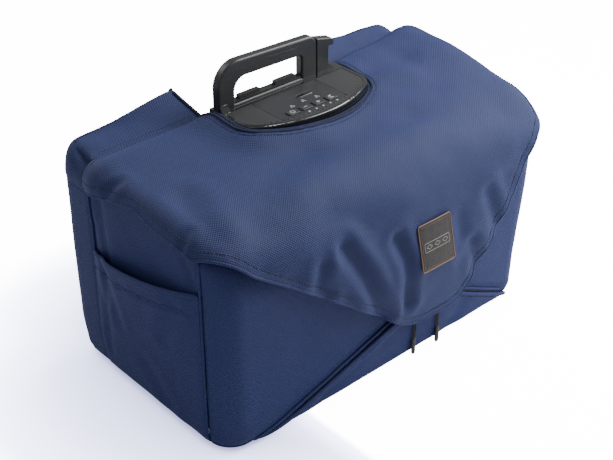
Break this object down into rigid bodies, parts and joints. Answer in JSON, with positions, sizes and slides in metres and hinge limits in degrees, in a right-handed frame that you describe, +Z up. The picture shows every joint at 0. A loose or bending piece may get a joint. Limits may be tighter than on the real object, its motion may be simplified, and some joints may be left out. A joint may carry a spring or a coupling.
{
  "type": "portable oxygen concentrator",
  "caption": "Portable oxygen concentrator in a padded carry bag with a folding envelope flap, side pockets, top control panel and fixed carry handle.",
  "frame": {"origin": "on the floor, at the centre of the outer box", "axes": "+Z up, +X along the bag to the right seen from the front, front with the flap towards -Y"},
  "size_m": [0.5068, 0.2873, 0.3384],
  "materials": {
    "bag_fabric": "fine navy twill, slightly sheeny",
    "trim_fabric": "dark navy binding and tape",
    "vent_mesh": "open spacer mesh",
    "patch_leather": "dark brown leather with a burnished edge",
    "case_plastic": "fine moulded texture",
    "panel_plastic": "satin charcoal",
    "button_plastic": "satin",
    "lens_plastic": "clear light guide",
    "pull_plastic": "soft touch",
    "pull_cord": "braided cord",
    "zip_metal": "black painted",
    "rubber": "matt",
    "aluminium": "cast and turned",
    "steel": "zinc plated",
    "fan_plastic": "glass filled",
    "board": "solder resist",
    "filter_foam": "open foam",
    "port_plastic": "moulded",
    "battery_case": "moulded"
  },
  "bodies": {
    "bag_and_case": {"base_panel": "bag_fabric", "front_panel": "bag_fabric", "left_side_panel": "bag_fabric", "right_side_panel": "bag_fabric", "back_panel": "bag_fabric", "back_strips": "bag_fabric", "left_pocket": "bag_fabric", "right_pocket": "bag_fabric", "lower_front_panel": "bag_fabric", "zip_tapes": "trim_fabric", "rear_vent_mesh": "vent_mesh", "front_shell": "case_plastic", "rear_shell": "case_plastic", "handle": "case_plastic", "handle_rail": "case_plastic", "top_cover": "case_plastic", "cannula_hook": "case_plastic", "intake_grille": "case_plastic", "exhaust_grille": "case_plastic", "control_panel": "panel_plastic", "keypad_overlay": "panel_plastic", "indicator_lenses": "lens_plastic", "rubber_feet": "rubber", "vibration_mounts": "rubber", "chassis_plate": "aluminium", "motor_housing": "aluminium", "crankcase": "aluminium", "cylinders": "aluminium", "cylinder_heads": "aluminium", "sieve_beds": "aluminium", "valve_manifold": "aluminium", "product_tank": "aluminium", "cooling_coil": "aluminium", "chassis_screws": "steel", "solenoid_valves": "steel", "fan_shroud": "fan_plastic", "ui_board": "board", "main_board": "board", "intake_filter": "filter_foam", "cannula_barb": "port_plastic", "dc_inlet": "port_plastic", "battery_pack": "battery_case"},
    "flap_lid": {"flap_lid": "bag_fabric", "opening_binding": "trim_fabric"},
    "flap_front": {"flap_front": "bag_fabric", "flap_patch": "patch_leather"},
    "slider_left": {"slider_left": "zip_metal"},
    "slider_right": {"slider_right": "zip_metal"},
    "pull_left": {"pull_cord_left": "pull_cord", "pull_tip_left": "pull_plastic"},
    "pull_right": {"pull_cord_right": "pull_cord", "pull_tip_right": "pull_plastic"},
    "power_button": {"power_button": "button_plastic"},
    "flow_down_button": {"flow_down_button": "button_plastic"},
    "flow_up_button": {"flow_up_button": "button_plastic"},
    "mode_button": {"mode_button": "button_plastic"},
    "fan_rotor": {"fan_rotor": "fan_plastic"},
    "crankshaft": {"crankshaft": "steel"},
    "piston_front": {"piston_front": "aluminium"},
    "piston_rear": {"piston_rear": "aluminium"}
  },
  "joints": [
    {"name": "flap_lift", "type": "hinge", "parent": "bag_and_case", "child": "flap_lid", "pos_m": [0, 0.097, 0.2728], "axis": [-1, 0, 0], "range_deg": [0, 150]},
    {"name": "flap_fold", "type": "hinge", "parent": "flap_lid", "child": "flap_front", "pos_m": [0, -0.1275, 0.225], "axis": [-1, 0, 0], "range_deg": [0, 150]},
    {"name": "zip_left", "type": "slide", "parent": "bag_and_case", "child": "slider_left", "axis": [-0.9529, 0, -0.3032], "range_m": [-0.005, 0.2]},
    {"name": "pull_swing_left", "type": "hinge", "parent": "slider_left", "child": "pull_left", "pos_m": [0.03, -0.1315, 0.07614], "axis": [0, 1, 0], "range_deg": [-6, 80]},
    {"name": "zip_right", "type": "slide", "parent": "bag_and_case", "child": "slider_right", "axis": [0.9168, 0, -0.3994], "range_m": [-0.005, 0.12]},
    {"name": "pull_swing_right", "type": "hinge", "parent": "slider_right", "child": "pull_right", "pos_m": [0.07, -0.1315, 0.07379], "axis": [0, -1, 0], "range_deg": [-6, 80]},
    {"name": "power_press", "type": "slide", "parent": "bag_and_case", "child": "power_button", "axis": [0, 0, -1], "range_m": [0, 0.0008], "stiffness_N_per_m": 600},
    {"name": "flow_down_press", "type": "slide", "parent": "bag_and_case", "child": "flow_down_button", "axis": [0, 0, -1], "range_m": [0, 0.0008], "stiffness_N_per_m": 600},
    {"name": "flow_up_press", "type": "slide", "parent": "bag_and_case", "child": "flow_up_button", "axis": [0, 0, -1], "range_m": [0, 0.0008], "stiffness_N_per_m": 600},
    {"name": "mode_press", "type": "slide", "parent": "bag_and_case", "child": "mode_button", "axis": [0, 0, -1], "range_m": [0, 0.0008], "stiffness_N_per_m": 600},
    {"name": "fan_spin", "type": "hinge", "parent": "bag_and_case", "child": "fan_rotor", "pos_m": [0.112, 0.03, 0.17], "axis": [1, 0, 0], "continuous": true},
    {"name": "crank_spin", "type": "hinge", "parent": "bag_and_case", "child": "crankshaft", "pos_m": [-0.02, -0.008, 0.092], "axis": [1, 0, 0], "continuous": true},
    {"name": "piston_front_turn", "type": "hinge", "parent": "crankshaft", "child": "piston_front", "pos_m": [-0.072, -0.012, 0.092], "axis": [1, 0, 0], "continuous": true},
    {"name": "piston_rear_turn", "type": "hinge", "parent": "crankshaft", "child": "piston_rear", "pos_m": [-0.05, -0.004, 0.092], "axis": [1, 0, 0], "continuous": true}
  ],
  "couplings": [
    {"joint": "piston_front_turn", "follows": "crank_spin", "ratio": -1},
    {"joint": "piston_rear_turn", "follows": "crank_spin", "ratio": -1}
  ]
}
